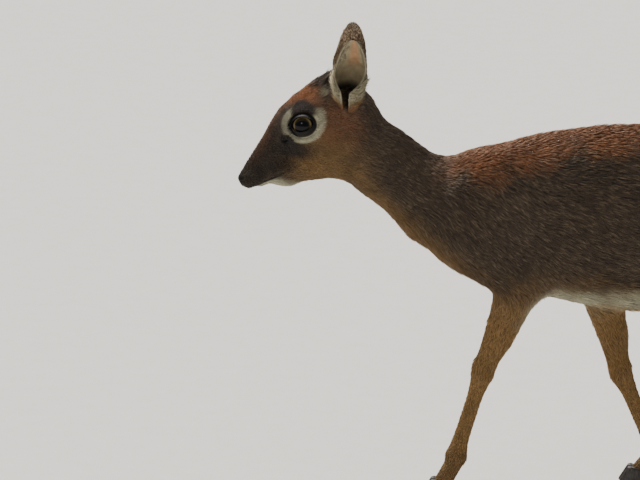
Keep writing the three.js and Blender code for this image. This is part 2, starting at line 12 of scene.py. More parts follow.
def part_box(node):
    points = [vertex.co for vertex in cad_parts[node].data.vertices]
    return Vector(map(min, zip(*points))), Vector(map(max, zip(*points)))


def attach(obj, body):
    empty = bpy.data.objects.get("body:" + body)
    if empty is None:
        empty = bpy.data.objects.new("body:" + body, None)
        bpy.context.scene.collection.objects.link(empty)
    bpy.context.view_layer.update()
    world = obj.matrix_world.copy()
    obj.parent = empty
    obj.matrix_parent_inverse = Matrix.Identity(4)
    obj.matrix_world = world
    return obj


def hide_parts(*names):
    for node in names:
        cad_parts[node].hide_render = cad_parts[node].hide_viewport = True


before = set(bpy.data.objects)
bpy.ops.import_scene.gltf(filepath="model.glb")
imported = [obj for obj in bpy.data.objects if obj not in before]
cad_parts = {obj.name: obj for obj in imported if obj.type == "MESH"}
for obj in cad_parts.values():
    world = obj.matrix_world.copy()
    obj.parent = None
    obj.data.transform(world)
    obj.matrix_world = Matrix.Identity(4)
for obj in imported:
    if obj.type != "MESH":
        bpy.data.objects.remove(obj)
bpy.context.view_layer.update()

# Places are in millimetres on the model's own axes: head towards -X, left side towards -Y, +Z up.
# A place that both sides share is given for the right side, and is mirrored by its Y.

EYE = np.array((-186, 20.5, 357.3))
EYE_RADIUS = 12
EYE_OUT = (-0.24, 0.95, 0.12)
EYE_FORWARD = np.array((-0.99, 0, -0.14))
PUPIL = (6.8, 5.2)  # half its length and height
IRIS_PALE = (7.0, 8.2)  # where the iris turns pale, from its middle
IRIS_END = (8.6, 9.2)
RING_MIDDLE = (1.3, -1.5)  # the pale ring round the eye, forwards and up from the eye's middle
RING_SIZE = (20.8, 17.8)  # half its length and height
SOCKET_SIZE = (12.6, 10.6)
SOCKET_DEPTH = 5

LID_LENGTH = 9.6  # half the eye's opening
LID_HEIGHT = 7.1
LID_LOWERED = 1.6  # how far the opening's middle lies under the ball's
LID_CORNER = 0.16  # how far the opening is drawn out at its corners
LID_FRONT_CORNER, LID_BACK_CORNER = 1.3, 0.7
LID_BARE = (14.2, 11.6)  # half the size of the bare dark skin round the opening
LID_HAIRLESS = (13.6, 11.0)  # the part of it without any hair
LID_BARE_MIDDLE = (1, -0.6)
LID_BEHIND = 0.22  # share of the lids' width that is tucked behind the rim
LID_TUCKED = 1.6  # how far it reaches there
LID_SPREAD = 8  # how far the rest reaches into the face
LID_THICK = 0.75
LID_SWELL = 0.825
LID_CREASE = 0.55
LID_CLEAR = 0.45  # how high over the ball the lids lie at least

GLAND = np.array((-204, 20.5, 342))
NOSTRIL = np.array((-245.5, 6.6, 303.5))
NOSE_TIP = np.array((-250, 0, 302))
MOUTH_MIDDLE = np.array((-217, 0, 304))
MOUTH_FORWARD = np.array((-0.875, 0, -0.486))
MOUTH_TURN = 112  # degrees of the mouth's line to each side of the front
MOUTH_DEPTH = 1.7
NOSTRIL_AXES = ((-0.75, 0.1, 0.66), (0.66, 0.1, 0.75))  # across the slit and along it
NOSTRIL_SIZE = (1.1, 2.4)
NOSTRIL_DEPTH = 2.4
GLAND_AXES = ((-0.8, 0.1, -0.4), (-0.4, 0.1, 0.8))  # along the slit and across it
GLAND_SIZE = (3.0, 0.9)
GLAND_DEPTH = 2.3
GLAND_SWELL_SIZE = (5.5, 3.6)
GLAND_SWELL = 1.1

EAR_ROOT = np.array((-144, 21, 379))
EAR_LENGTH = 78
EAR_WIDTH = 30.5
EAR_THICK = 1.4
EAR_LEAN = 22  # degrees outwards from upright
EAR_WIDEST = 0.46  # of its length
EAR_POINT = 0.6  # the larger, the more its tip is drawn out
EAR_ROOT_WIDTH = 0.66  # of its width
EAR_ROLLED = 164  # degrees of the roll to each side of its middle, at the root
EAR_OPENED = 68
EAR_OPENING = (0.34, 0.72)  # where the roll opens, of its length
EAR_BEND = 3
EAR_SUNK = 8
EAR_AROUND = 40
EAR_RINGS = 64
# Tufts of an ear: lowest, highest, how far from its middle to an edge (two), on its back, count,
# how much they lean in over the cup, then length, width and lift
EAR_FUR = (
    (0.03, 0.985, 0.0, 1.0, True, 3000, 0.0, 4.6, 0.8, 9),
    (0.10, 0.985, 0.92, 1.0, False, 420, 0.3, 3.6, 0.6, 8),
    (0.12, 0.50, 0.66, 1.0, False, 800, 0.6, 8.5, 0.8, 26),
    (0.42, 0.88, 0.50, 0.97, False, 420, 0.5, 8.0, 0.7, 12),
)

# The top of the head: its line in the side view, and how it falls off to the sides
CROWN = np.array((-176, 0, 393))
CROWN_REACH = (25, 15, 15)
CROWN_LINE = (
    (-206, 372.6), (-198, 380.4), (-190, 387.4), (-182, 393.8), (-174, 399), (-166, 403.2),
    (-158, 405.6), (-150, 404), (-142, 398),
)
CROWN_ROUND = 0.042

CREST = np.array((-176, 0, 398))
CREST_REACH = (11, 10, 13)
CREST_SPACING = 1.25
CREST_SIZES = (13, 1.6, 5)  # length, width, lift
CREST_LIE = (0.87, 0, 0.46)

SIDES = ((-1, "left"), (1, "right"))
LEGS = ("left_fore", "right_fore", "left_hind", "right_hind")
# The middle of each leg from the body to its hooves, in the side view, with its distance from the middle
LEG_LINES = {
    "left_fore": ((-38, 28, 254), (18, 31, 206), (-15.5, 28, 122), (-42, 26, 38), (-58, 26, 6)),
    "right_fore": ((14, 28, 244), (95, 31, 196), (117, 28, 108), (150, 26, 31), (132, 26, 6)),
    "left_hind": ((262, 28, 296), (222, 37, 213), (298, 29, 139), (313, 27, 37), (298, 27, 6)),
    "right_hind": ((262, 28, 296), (199, 37, 222), (263, 29, 141), (241, 27, 38), (225, 27, 6)),
}
BODY_LINE = (
    (-250, 0, 303), (-200, 0, 328), (-150, 0, 348), (-60, 0, 292),
    (40, 0, 265), (180, 0, 262), (345, 0, 285),
)
TAIL_LINE = ((300, 0, 310), (324, 0, 305), (338, 0, 290), (343, 0, 258))
# Lines in the side view: along the back, and along the throat and chest
BACK_LINE = ((-53, 325), (-7, 334), (39, 346), (86, 353), (240, 350), (320, 322))
THROAT_LINE = ((-170, 301), (-140, 297), (-100, 262), (-60, 232), (-20, 205))
GROOVE_DEPTH = 0.7  # beside the tendons of a cannon
GROOVE_ANGLE = 1.9  # radians round the cannon from its back

VOXEL = 2.0
SWELL = 0.45  # closes the gaps between the solids of the flesh
TORSO_ROUNDS = 90  # of smoothing
CROWN_ROUNDS = 70
BROAD_ROUNDS = 12
FACE_ROUNDS = 8
FEATURE_ROUNDS = 4

TUFT_SUNK = 0.4
TUFT_CURL = 0.5  # how far a tuft bends back down
TUFT_THICK = 0.38  # of its width
TUFT_POINTS = 7
COAT_FILL = 0.6  # share of a tuft's full rise that the coat's depth allows for
PATCH = 0.0015  # half the size of a tuft's patch on the map that its colours are baked on
MOST_TUFTS = 19500  # in one piece, to keep it under 200,000 triangles
TICKED = 0.28  # share of the tufts with a pale tip
PLAN_NEAR = 30  # softens the blend of the plan's rows
PLAN_FALL = -2.2

# Colours

GRIZZLE = (0.070, 0.048, 0.031)
TICK = (0.29, 0.21, 0.12)
COLOURS = {
    "rust": (0.30, 0.110, 0.038),
    "tan": (0.27, 0.155, 0.052),
    # Cream is the pale hair's own colour with a painted greenish cast of bounced light in it
    "cream": (0.56, 0.54, 0.38),
    "dark": (0.026, 0.018, 0.013),
    "black": (0.008, 0.007, 0.006),
    "pink": (0.55, 0.26, 0.12),
}
IRIS_COLOURS = ((0.012, 0.008, 0.004), (0.040, 0.026, 0.011), (0.17, 0.125, 0.05))
PUPIL_COLOUR = (0.001, 0.001, 0.002)
EYE_EDGE_COLOUR = (0.008, 0.006, 0.005)
HORN_COLOURS = ((0.012, 0.010, 0.009), (0.055, 0.045, 0.036))
FLOOR_COLOURS = ((0.62, 0.61, 0.59), (0.68, 0.67, 0.65))

# Spots of colour: middle, radii, how softly each ends
SPOTS = {
    "crown": ((-187, 0, 382), (17, 26, 14), 0.5),
    "crest": ((-170, 0, 396), (18, 13, 12), 0.4),
    "behind_eye": ((-156, 26, 358), (22, 18, 22), 0.5),
    "above_eye": ((-187.5, 20, 371), (11.5, 15, 9.5), 0.3),
    "under_eye": ((-195, 20, 334), (17, 13, 9.5), 0.5),
    "behind_ring": ((-173.5, 24, 369), (5.5, 8, 5.5), 0.3),
    "cheek": ((-172, 18, 320), (38, 26, 25), 0.8),
    "chin": ((-212, 0, 301), (25, 16, 10), 0.35),
    "nose": (NOSE_TIP, (8, 7, 7), 0.3),
    "gland": (GLAND, (5.2, 6, 3.6), 0.3),
    "tear": ((-203, 20, 342.5), (7, 9, 5.5), 0.3),
    "before_ear": ((-171, 22, 390), (5, 7, 5), 0.5),
    # Painted shadow: black where the rolled ear's slit opens at its root
    "ear_slit_painted_shadow": ((-147, 30, 382), (5, 9, 10), 0.3),
    "tail_under": ((347, 0, 270), (9, 10, 26), 0.35),
}

# The camera and the studio, in metres

CAMERA_LENS = 413.5
CAMERA_AIM = np.array((-171.4, 0, 242))  # in millimetres on the model's axes
CAMERA_TILT = 12  # degrees
CAMERA_AWAY = 7
SKY_COLOUR = (0.82, 0.86, 0.92, 1)
SKY_STRENGTH = 0.37
LIT_PLACE = (0, 0, 0.22)
# Kind, name, place, power, colour, what else is set
LIGHTS = (
    ("SUN", "key", (-0.7, 1.2, 2.8), 6.5, (1, 0.95, 0.88), {"angle": math.radians(20)}),
    ("AREA", "front", (-1.9, -2.9, 2.1), 11, (1, 0.98, 0.94), {"shape": "DISK", "size": 0.9}),
)

rng = np.random.default_rng(11)


# Small sums on arrays of places

def fade(low, high, value):
    """0 at low, 1 at high, smooth between; low may be the larger one."""
    share = np.clip((value - low) / (high - low), 0, 1)
    return share * share * (3 - 2 * share)


def unit(vectors):
    length = np.linalg.norm(vectors, axis=-1, keepdims=True)
    return vectors / np.maximum(length, 1e-9)


def folded(points):
    """The same places on the right side."""
    return points * (1, 0, 1) + np.abs(points) * (0, 1, 0)


def sided(place, side):
    return np.asarray(place, float) * (1, side, 1)


def bell(value, width):
    """1 at 0, falling off smoothly to both sides."""
    return np.exp(-((value / width) ** 2))


def spot(points, place, radii, soft):
    """1 in an ellipsoid, fading to 0 past its surface."""
    away = np.linalg.norm((points - place) / radii, axis=-1)
    return fade(1 + soft, 1 - soft, away)


def line_height(points, line):
    """The height of a line in the side view, at each place."""
    along, heights = np.array(line, float).T
    return np.interp(points[:, 0], along, heights)


def wander(points, scale, phase):
    """A slow random wave from -1 to 1, that is the same each run."""
    waves = np.array(((1.0, 0.6, -0.4), (-0.5, 1.1, 0.7), (0.8, -0.7, 1.2)))
    turns = points @ waves.T / scale + phase * np.array((1.0, 2.3, 3.1))
    return np.sin(turns + np.sin(turns[:, [1, 2, 0]] * 1.7)).mean(axis=1) * 1.4


def along_line(points, line):
    """Share along a line of places, angle round it and distance from it, for each point."""
    line = np.array(line, float)
    starts, steps = line[:-1], np.diff(line, axis=0)
    lengths = np.linalg.norm(steps, axis=1)
    begun = np.concatenate(((0,), np.cumsum(lengths)))
    share = ((points[:, None] - starts) * steps).sum(axis=2) / lengths**2
    share = np.clip(share, 0, 1)
    nearest = starts + steps * share[..., None]
    away = np.linalg.norm(points[:, None] - nearest, axis=2)
    best = away.argmin(axis=1)
    rows = np.arange(len(points))
    along = (begun[best] + share[rows, best] * lengths[best]) / begun[-1]
    ahead = steps[best] / lengths[best][:, None]
    sideways = unit(np.array((0.0, 1.0, 0.0)) - ahead * ahead[:, 1:2])
    upright = np.cross(ahead, sideways)
    off = points - nearest[rows, best]
    angle = np.arctan2((off * sideways).sum(axis=1), (off * upright).sum(axis=1))
    return along, angle, away[rows, best]


def leg_line(leg):
    side = -1 if leg.startswith("left") else 1
    return [sided(place, side) for place in LEG_LINES[leg]]


low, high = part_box("eye_left")
SHIFT = np.array((low + high) / 2) * 1000 - sided(EYE, -1)


def to_frame(points):
    return (points + SHIFT) * 0.001


def from_frame(points):
    return points * 1000 - SHIFT


# Meshes

def rows_of(items, key, width, kind=np.int32):
    """One row of numbers for each vertex, edge or triangle of a mesh."""
    flat = np.empty(len(items) * width, kind)
    items.foreach_get(key, flat)
    return flat.reshape(-1, width)


def coordinates(mesh):
    return from_frame(rows_of(mesh.vertices, "co", 3, np.float32).astype(float))


def set_coordinates(mesh, points):
    mesh.vertices.foreach_set("co", to_frame(points).astype(np.float32).ravel())
    mesh.update()


def triangles_of(mesh):
    mesh.calc_loop_triangles()
    return rows_of(mesh.loop_triangles, "vertices", 3)


def normals_of(points, triangles):
    a, b, c = (points[triangles[:, n]] for n in range(3))
    faces = np.cross(b - a, c - a)
    total = np.zeros_like(points)
    for corner in range(3):
        for axis in range(3):
            total[:, axis] += np.bincount(triangles[:, corner], faces[:, axis], len(points))
    return unit(total)


def mesh_of(points, triangles):
    mesh = bpy.data.meshes.new("shape")
    mesh.vertices.add(len(points))
    set_coordinates(mesh, points)
    mesh.loops.add(triangles.size)
    mesh.loops.foreach_set("vertex_index", triangles.astype(np.int32).ravel())
    mesh.polygons.add(len(triangles))
    mesh.polygons.foreach_set("loop_start", np.arange(0, triangles.size, 3, dtype=np.int32))
    mesh.update(calc_edges=True)
    mesh.shade_smooth()
    return mesh


def linked(name, data):
    made = bpy.data.objects.new(name, data)
    bpy.context.scene.collection.objects.link(made)
    return made


def poured(shape, mesh=None):
    """A bmesh's faces in a mesh. The bmesh is freed."""
    mesh = mesh or bpy.data.meshes.new("shape")
    shape.to_mesh(mesh)
    shape.free()
    return mesh


def set_attribute(mesh, name, values):
    attribute = mesh.attributes.new(name, "FLOAT", "POINT")
    attribute.data.foreach_set("value", np.asarray(values, np.float32))


def place_piece(name, mesh, material, slot, nodes=()):
    mesh.name = name
    mesh.materials.clear()
    mesh.materials.append(material)
    piece = linked(name, mesh)
    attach(piece, "root")
    if nodes:
        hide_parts(*nodes)


def mesh_from(shape):
    """A mesh of a bmesh whose places are in millimetres on the model's own axes."""
    mesh = poured(shape)
    set_coordinates(mesh, rows_of(mesh.vertices, "co", 3, np.float32).astype(float))
    mesh.shade_smooth()
    return mesh


# Materials

def joined(operation, swapped=False):
    """One of Python's operators, as a Math node."""
    def operator(self, other):
        values = (other, self) if swapped else (self, other)
        return self.paint.math(operation, *values)
    return operator


class Wire:
    """A socket of a material. Python's operators on it add Math nodes."""

    def __init__(self, paint, socket):
        self.paint = paint
        self.socket = socket

    __add__ = __radd__ = joined("ADD")
    __mul__ = __rmul__ = joined("MULTIPLY")
    __sub__, __rsub__ = joined("SUBTRACT"), joined("SUBTRACT", swapped=True)
    __truediv__, __rtruediv__ = joined("DIVIDE"), joined("DIVIDE", swapped=True)
    __pow__, __rpow__ = joined("POWER"), joined("POWER", swapped=True)


class Paint:
    """The nodes of one material."""

    def __init__(self, name, **fixed):
        self.material = bpy.data.materials.new(name)
        self.material.use_nodes = True
        self.tree = self.material.node_tree
        self.shader = self.tree.nodes["Principled BSDF"]
        for key, value in fixed.items():
            self.shader.inputs[key.replace("_", " ")].default_value = value

    def feed(self, socket, value):
        if isinstance(value, Wire):
            self.tree.links.new(value.socket, socket)
        elif isinstance(value, tuple) and socket.type == "RGBA":
            socket.default_value = (*value, 1)
        else:
            socket.default_value = value

    def add(self, kind, inputs=None, out=0, **settings):
        """A node of any kind. Its settings come first, as they can change its sockets."""
        node = self.tree.nodes.new("ShaderNode" + kind)
        for key, value in settings.items():
            setattr(node, key, value)
        for key, value in (inputs or {}).items():
            self.feed(node.inputs[key], value)
        return Wire(self, node.outputs[out])

    def math(self, operation, *values):
        return self.add("Math", dict(enumerate(values)), operation=operation)

    def mix(self, share, first, second, blend="MIX"):
        colours = {0: share, 6: first, 7: second}
        return self.add("Mix", colours, out=2, data_type="RGBA", blend_type=blend)

    def darkened(self, colour, light):
        """A colour times a number."""
        return self.mix(1.0, colour, self.add("CombineColor", {0: light, 1: light, 2: light}), "MULTIPLY")

    def attribute(self, name):
        return self.add("Attribute", out=2, attribute_name=name)

    def place(self):
        return self.add("TexCoord", out=3)

    def stretched(self, vector, scale):
        return self.add("Mapping", {"Vector": vector, "Scale": scale})

    def noise(self, vector, scale, detail=2.0):
        return self.add("TexNoise", {"Vector": vector, "Scale": scale, "Detail": detail})

    def spread(self, value, low, high, start=0.0, end=1.0):
        inputs = {"Value": value, "From Min": low, "From Max": high, "To Min": start, "To Max": end}
        return self.add("MapRange", inputs)

    def bump(self, height, strength, distance):
        return self.add("Bump", {"Height": height, "Strength": strength, "Distance": distance})

    def finish(self, **wires):
        for key, value in wires.items():
            self.feed(self.shader.inputs[key.replace("_", " ")], value)
        return self.material


def marked(paint):
    """The colour that the markings give, over the coat's own grizzle."""
    colour = GRIZZLE
    for name, shade in COLOURS.items():
        colour = paint.mix(paint.attribute(name), colour, shade)
    return colour


def skin_material():
    paint = Paint("skin", Specular_IOR_Level=0.22)
    place = paint.place()
    mottle = paint.noise(place, 160.0, 4.0)
    fine = paint.noise(paint.stretched(place, (0.35, 1.0, 1.0)), 1400.0, 2.0)
    bare = paint.attribute("black")
    # Painted shade: the skin is the markings darkened to 0.62 to 0.95 of their colour, standing in for
    # shade under the coat, and varied by a random mottle
    shade = paint.spread(mottle, 0.3, 0.7, 0.62, 0.95)
    rough = paint.spread(bare, 0.0, 1.0, 0.8, 0.62)
    bump = paint.bump(fine + mottle * 0.5, 0.35, 0.0006)
    return paint.finish(Base_Color=paint.darkened(marked(paint), shade), Roughness=rough, Normal=bump)


def coat_material():
    paint = Paint("coat", Specular_IOR_Level=0.3, Roughness=0.6, Sheen_Weight=0.05, Sheen_Roughness=0.4)
    tone = paint.attribute("tone")
    share = paint.attribute("share")
    patchy = paint.noise(paint.place(), 55.0, 3.0)
    light = paint.spread(share, 0.0, 1.0, 0.55, 1.25) * paint.spread(tone, 0.0, 1.0, 0.7, 1.3)
    light = light * paint.spread(patchy, 0.3, 0.7, 0.88, 1.12)
    ticked = paint.attribute("ticked") * paint.spread(share, 0.35, 0.8)
    return paint.finish(Base_Color=paint.mix(ticked, paint.darkened(marked(paint), light), TICK))


def horn_material():
    paint = Paint("horn", Specular_IOR_Level=0.5)
    place = paint.place()
    banded = {"Vector": place, "Scale": 260.0, "Distortion": 1.5, "Detail": 2.0}
    rings = paint.add("TexWave", banded, out=1, bands_direction="Z")
    grain = paint.noise(paint.stretched(place, (1.0, 1.0, 0.2)), 900.0, 3.0)
    colour = paint.mix(paint.spread(grain, 0.35, 0.7), *HORN_COLOURS)
    rough = paint.spread(grain, 0.3, 0.7, 0.32, 0.55)
    bump = paint.bump(rings * 0.4 + grain, 0.4, 0.0004)
    return paint.finish(Base_Color=colour, Roughness=rough, Normal=bump)


def eye_material():
    """Attributes say how far a point is from the pupil's middle, along the lids and across them."""
    paint = Paint("eye", Specular_IOR_Level=0.08, Roughness=0.03, Coat_Weight=0.22, Coat_Roughness=0.02)
    along = paint.attribute("along")
    above = paint.attribute("above")
    iris_off = paint.math("SQRT", along * along + above * above)
    pupil_off = paint.math("SQRT", (along / PUPIL[0]) ** 2.0 + (above / PUPIL[1]) ** 2.0)
    around = paint.math("ARCTAN2", above, along)
    streaks = paint.noise(paint.add("CombineXYZ", {0: around * 6.0, 1: iris_off * 0.25}), 1.6, 4.0)
    deep, light, pale = IRIS_COLOURS
    colour = paint.mix(paint.spread(streaks, 0.35, 0.65), deep, light)
    colour = paint.mix(paint.spread(iris_off, *IRIS_PALE), colour, pale)
    colour = paint.mix(paint.spread(pupil_off, 0.9, 1.08), PUPIL_COLOUR, colour)
    colour = paint.mix(paint.spread(iris_off, *IRIS_END), colour, EYE_EDGE_COLOUR)
    return paint.finish(Base_Color=colour)


# Markings, the same on skin and coat

def eye_axes(side):
    """Outwards from an eye, along its opening towards the nose, and up across the lids."""
    out = unit(sided(EYE_OUT, side))
    forward = unit(EYE_FORWARD - out * (EYE_FORWARD @ out))
    return out, forward, np.cross(out, forward) * -side


def eye_ring(points):
    """How far places lie from the middle of an eye: along its opening, across it and outwards."""
    out, forward, up = eye_axes(1)
    off = folded(points) - EYE
    return off @ forward, off @ up, off @ out


def oval_off(along, across, middle, sizes):
    """How far off an oval's middle, with 1 at its edge."""
    return np.hypot((along - middle[0]) / sizes[0], (across - middle[1]) / sizes[1])


def mouth_height(points):
    """How far above the plane of the mouth's line."""
    across = np.cross(MOUTH_FORWARD, (0, 1, 0))
    return -(points - MOUTH_MIDDLE) @ unit(across)


def leg_share(points, blur):
    """1 down the legs, fading out where they leave the body."""
    legs = np.zeros(len(points))
    for leg in LEGS:
        along, _, away = along_line(points, leg_line(leg))
        legs = np.maximum(legs, fade(0.22, 0.45, along + blur * 0.01) * fade(60, 40, away))
    return legs


class Places:
    """What the markings go by at each place, with both sides taken as the right one."""

    def __init__(self, points):
        self.right = folded(points)
        self.x, self.y, self.z = self.right.T
        self.blur = wander(points, 9, 1) * 3
        self.legs = leg_share(points, self.blur)
        self.mouth = mouth_height(self.right)
        self.spots = {name: spot(self.right, *shape) for name, shape in SPOTS.items()}
        along, across, outward = eye_ring(points)
        self.near_eye = fade(-8, 0, outward)
        self.lids = oval_off(along, across, LID_BARE_MIDDLE, LID_BARE)
        self.ring = oval_off(along, across, RING_MIDDLE, RING_SIZE)


def rust_share(at):
    """The back, the crown, the top of the snout and the patch behind the eye."""
    up_to_back = at.z + at.blur * 2 - line_height(at.right, BACK_LINE)
    back = fade(-30, -8, up_to_back) * fade(-80, -30, at.x)
    snout_top = fade(13, 5, at.y) * fade(-245, -225, at.x) * fade(-175, -190, at.x)
    snout_top = snout_top * fade(-6, 6, at.z - 326 - (at.x + 225) * 0.9)
    return back * 0.7 + at.spots["crown"] + snout_top * 0.75 + at.spots["behind_eye"] * 0.4


def tan_share(at):
    """The cheeks, the throat, the lower flanks and the legs."""
    above_throat = at.z - line_height(at.right, THROAT_LINE)
    cheek = at.spots["cheek"] * fade(-226, -186, at.x)
    throat = fade(34, 2, above_throat) * fade(-10, -60, at.x) * fade(-150, -120, at.x)
    low_flank = fade(244, 190, at.z + at.blur * 3 + at.y * 0.2) * fade(-60, -10, at.x)
    return cheek * 0.75 + throat * 0.6 + low_flank * 0.5 + at.legs * 0.62


def cream_share(at):
    """The belly, chin, ring round the eye, spot before the ear and tail's underside."""
    spots = at.spots
    belly = fade(203, 186, at.z + at.blur - at.y * 0.15) * fade(-10, 40, at.x) * fade(46, 32, at.y)
    belly = belly * (1 - at.legs)
    chin = spots["chin"] * fade(0.6, -0.8, at.mouth)
    ring = np.maximum(fade(1.08, 0.94, at.ring) * at.near_eye, spots["behind_ring"] * 0.8)
    ring = ring * (1 - spots["above_eye"])
    on_face = chin * 0.95 + ring * 0.78 + spots["before_ear"] * 0.5
    return belly * 0.8 + on_face + spots["tail_under"] * 0.7


def dark_share(at):
    """The muzzle, the patches round the eye, the crest and the shins."""
    spots = at.spots
    lip = bell(at.mouth - 3, 2.2) * fade(-236, -224, at.x) * fade(-196, -206, at.x)
    muzzle = fade(-180, -220, at.x) * fade(-1, 1.5, at.mouth + at.blur * 0.2) * (0.74 - lip * 0.45)
    under_eye = spots["under_eye"] * fade(0.96, 1.06, at.ring)
    shins = at.legs * fade(60, 30, at.z) * 0.3
    return muzzle + under_eye * 0.8 + spots["tear"] + spots["crest"] + spots["above_eye"] + shins


def black_share(at):
    """The bare skin of lids, nose, glands and mouth, and painted shadow in the slit of the ear."""
    spots = at.spots
    bare = fade(1.06, 0.96, at.lids) * at.near_eye
    lips = bell(at.mouth, 1.4) * fade(-203, -209, at.x) * fade(318, 314, at.z)
    # The ear's slit is black as painted shadow
    return bare + spots["nose"] + spots["gland"] + lips + spots["ear_slit_painted_shadow"] * 0.9


def markings(points):
    """How much of each colour lies over the coat's grizzle. Only the ears have pink."""
    at = Places(points)
    shares = (rust_share(at), tan_share(at), cream_share(at), dark_share(at), black_share(at), 0 * at.x)
    return {name: np.clip(share, 0, 1) for name, share in zip(COLOURS, shares)}


# The plan of the coat: where, the way it lies, length, width, degrees that it lifts, spacing

LEG_SIZES = ((10, 1.3, 12, 1.6), (7, 1.1, 9, 1.3), (4.5, 0.9, 8, 1.1), (4.5, 0.9, 8, 1.05))
TAIL_SIZES = (13, 1.2, 15, 1.1)
HEAD_PLAN = (
    ((-247, 4, 303), (0.8, 0.2, 0.5), 2.2, 0.6, 10, 0.75),
    ((-228, 9, 312), (0.9, 0.2, 0.3), 3.4, 0.65, 9, 0.8),
    ((-224, 4, 297), (1, 0, -0.1), 4.5, 0.7, 12, 0.85),
    ((-228, 0, 324), (0.8, 0, 0.6), 3.4, 0.65, 8, 0.8),
    ((-206, 0, 350), (0.75, 0, 0.65), 4, 0.7, 8, 0.85),
    ((-205, 17, 330), (0.9, 0.2, 0.2), 4, 0.7, 8, 0.85),
    ((-203, 23, 362), (0.7, 0.2, 0.5), 2.6, 0.6, 7, 0.75),
    ((-174, 29, 352), (0.9, 0.1, -0.2), 3, 0.6, 7, 0.75),
    ((-190, 24, 342), (0.95, 0.1, -0.1), 3, 0.6, 7, 0.75),
    ((-188, 24, 373), (0.8, 0.1, 0.5), 3, 0.6, 7, 0.75),
    ((-178, 26, 335), (0.95, 0.1, -0.1), 5, 0.8, 9, 0.95),
    ((-195, 11, 309), (1, 0, -0.05), 5.5, 0.8, 11, 0.95),
    ((-165, 26, 362), (0.9, 0.1, 0.2), 5, 0.8, 9, 0.95),
    ((-190, 8, 376), (0.75, 0, 0.6), 5, 0.75, 9, 0.9),
    ((-170, 0, 392), (0.85, 0, 0.4), 8, 0.9, 11, 1),
    ((-145, 12, 385), (0.95, 0, -0.1), 7, 0.9, 11, 1),
    ((-122, 8, 372), (0.85, 0, -0.5), 8, 1, 12, 1.1),
    ((-138, 30, 348), (0.9, 0, -0.4), 8, 1, 10, 1.1),
    ((-150, 8, 306), (0.95, 0, -0.25), 8, 1, 11, 1.1),
)
BODY_PLAN = (
    ((-90, 0, 335), (0.82, 0, -0.55), 10, 1.2, 12, 1.4),
    ((-90, 26, 300), (0.82, 0, -0.55), 10, 1.2, 11, 1.4),
    ((-95, 0, 264), (0.82, 0, -0.55), 10, 1.2, 12, 1.4),
    ((-20, 0, 322), (0.97, 0, -0.1), 12, 1.35, 12, 1.6),
    ((-50, 22, 240), (0.6, 0, -0.8), 12, 1.35, 12, 1.6),
    ((-5, 42, 275), (0.75, 0, -0.6), 12, 1.35, 11, 1.65),
    ((70, 0, 340), (1, 0, 0), 13, 1.4, 12, 1.7),
    ((80, 46, 270), (0.93, 0, -0.35), 13, 1.4, 11, 1.7),
    ((90, 8, 185), (1, 0, 0), 13, 1.4, 12, 1.7),
    ((170, 0, 346), (1, 0, 0), 13, 1.4, 12, 1.7),
    ((170, 50, 275), (0.93, 0, -0.35), 13, 1.4, 11, 1.7),
    ((170, 8, 178), (1, 0, 0.1), 13, 1.4, 12, 1.7),
    ((260, 0, 346), (0.9, 0, -0.35), 13, 1.4, 12, 1.7),
    ((255, 46, 285), (0.6, 0, -0.8), 12, 1.4, 11, 1.7),
    ((318, 14, 290), (0.2, 0, -1), 12, 1.4, 11, 1.6),
    ((240, 14, 220), (0.8, 0, -0.3), 11, 1.3, 12, 1.6),
)


def leg_plan():
    rows = []
    for leg in LEGS:
        line = leg_line(leg)
        for start, end, sizes in zip(line, line[1:], LEG_SIZES):
            for share in (0.35, 0.8):
                rows.append((start + (end - start) * share, end - start, *sizes))
    return rows


def tail_plan():
    line = np.array(TAIL_LINE, float)
    return [(end, end - start, *TAIL_SIZES) for start, end in zip(line, line[1:])]


def mirrored_rows(rows):
    both = []
    for place, lie, *sizes in rows:
        for side in (-1, 1) if place[1] else (1,):
            both.append((sided(place, side), sided(lie, side), *sizes))
    return both


PLAN = mirrored_rows(HEAD_PLAN + BODY_PLAN) + leg_plan() + tail_plan()
PLAN_PLACES = np.array([row[0] for row in PLAN])
PLAN_LIE = unit(np.array([row[1] for row in PLAN], float))
PLAN_SIZES = np.array([row[2:] for row in PLAN], float)


def coat_plan(points):
    """The lie and the sizes of the coat at each place, blended from the nearest rows."""
    apart = ((points[:, None] - PLAN_PLACES) ** 2).sum(axis=2) + PLAN_NEAR
    share = apart**PLAN_FALL
    share /= share.sum(axis=1, keepdims=True)
    return share @ PLAN_LIE, share @ PLAN_SIZES


def coat_depth(points):
    """How far the tips of the coat stand off the skin."""
    sizes = coat_plan(points)[1]
    return sizes[:, 0] * np.tan(np.radians(sizes[:, 2])) * COAT_FILL


# Skin

FLESH = ["head", "neck", "torso", "tail"]
for leg in LEGS:
    FLESH += [f"{leg}_{'forearm' if leg.endswith('fore') else 'gaskin'}", f"{leg}_cannon", f"{leg}_pastern"]


def flesh_shell():
    """One closed surface round copies of all the solids of the flesh."""
    shell = bmesh.new()
    for name in FLESH + ["eye_left", "eye_right"]:
        shell.from_mesh(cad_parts[name].data)
    bmesh.ops.remove_doubles(shell, verts=shell.verts, dist=1e-5)
    shell.normal_update()
    for vertex in shell.verts:
        vertex.co += vertex.normal * SWELL * 0.001
    whole = linked("shell", poured(shell))
    remesh = whole.modifiers.new("remesh", "REMESH")
    remesh.mode = "VOXEL"
    remesh.voxel_size = VOXEL * 0.001
    evaluated = whole.evaluated_get(bpy.context.evaluated_depsgraph_get())
    made = bpy.data.meshes.new_from_object(evaluated)
    bpy.data.objects.remove(whole)
    return made


